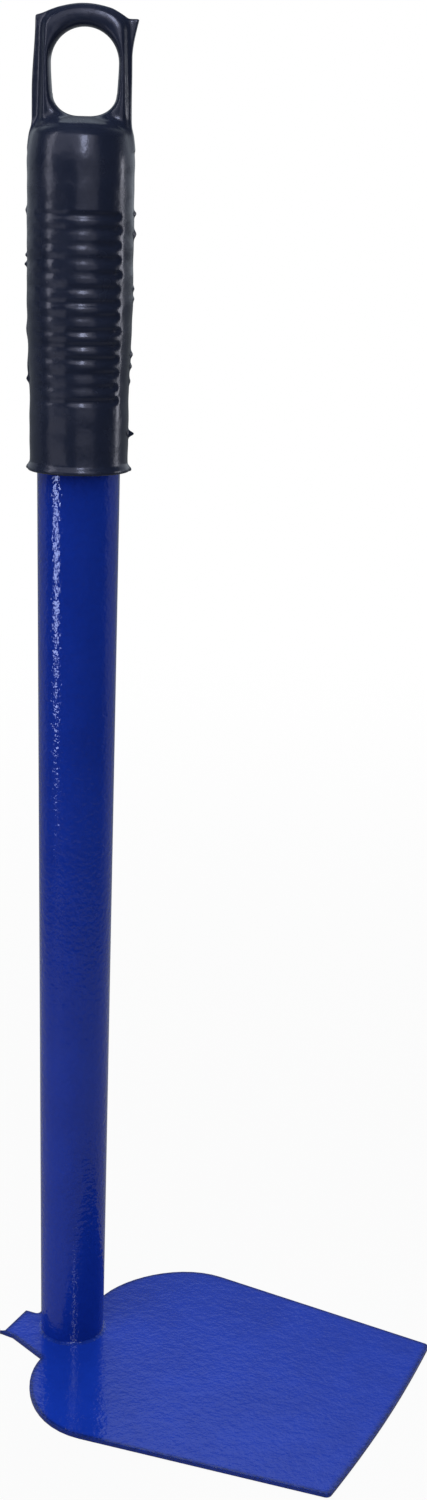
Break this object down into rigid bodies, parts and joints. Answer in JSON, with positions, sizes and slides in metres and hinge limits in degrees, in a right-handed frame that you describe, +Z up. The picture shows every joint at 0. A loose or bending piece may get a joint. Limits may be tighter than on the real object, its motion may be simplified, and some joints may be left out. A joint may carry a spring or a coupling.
{
  "type": "spade hoe",
  "caption": "Hand hoe with a flat spade-shaped blade welded square to a slightly tapered steel tube, and a ribbed moulded grip that ends in a hang loop.",
  "frame": {"origin": "on the tube's centreline, at the blade's flat underside", "axes": "+Z up along the tube towards the hang loop, +X from the tube towards the blade's cutting edge, +Y to the side away from the small tab behind the tube"},
  "size_m": [0.1446, 0.1144, 0.4565],
  "materials": {
    "blue_gloss_paint": "gloss, with a light orange-peel texture",
    "blade_blue_paint": "semi-gloss, with a light orange-peel texture",
    "painted_weld": "semi-gloss paint over a rippled weld",
    "black_moulded_grip": "satin moulded plastic"
  },
  "bodies": {
    "root": {"handle_tube": "blue_gloss_paint", "blade": "blade_blue_paint", "weld_bead": "painted_weld", "grip": "black_moulded_grip"}
  },
  "joints": []
}
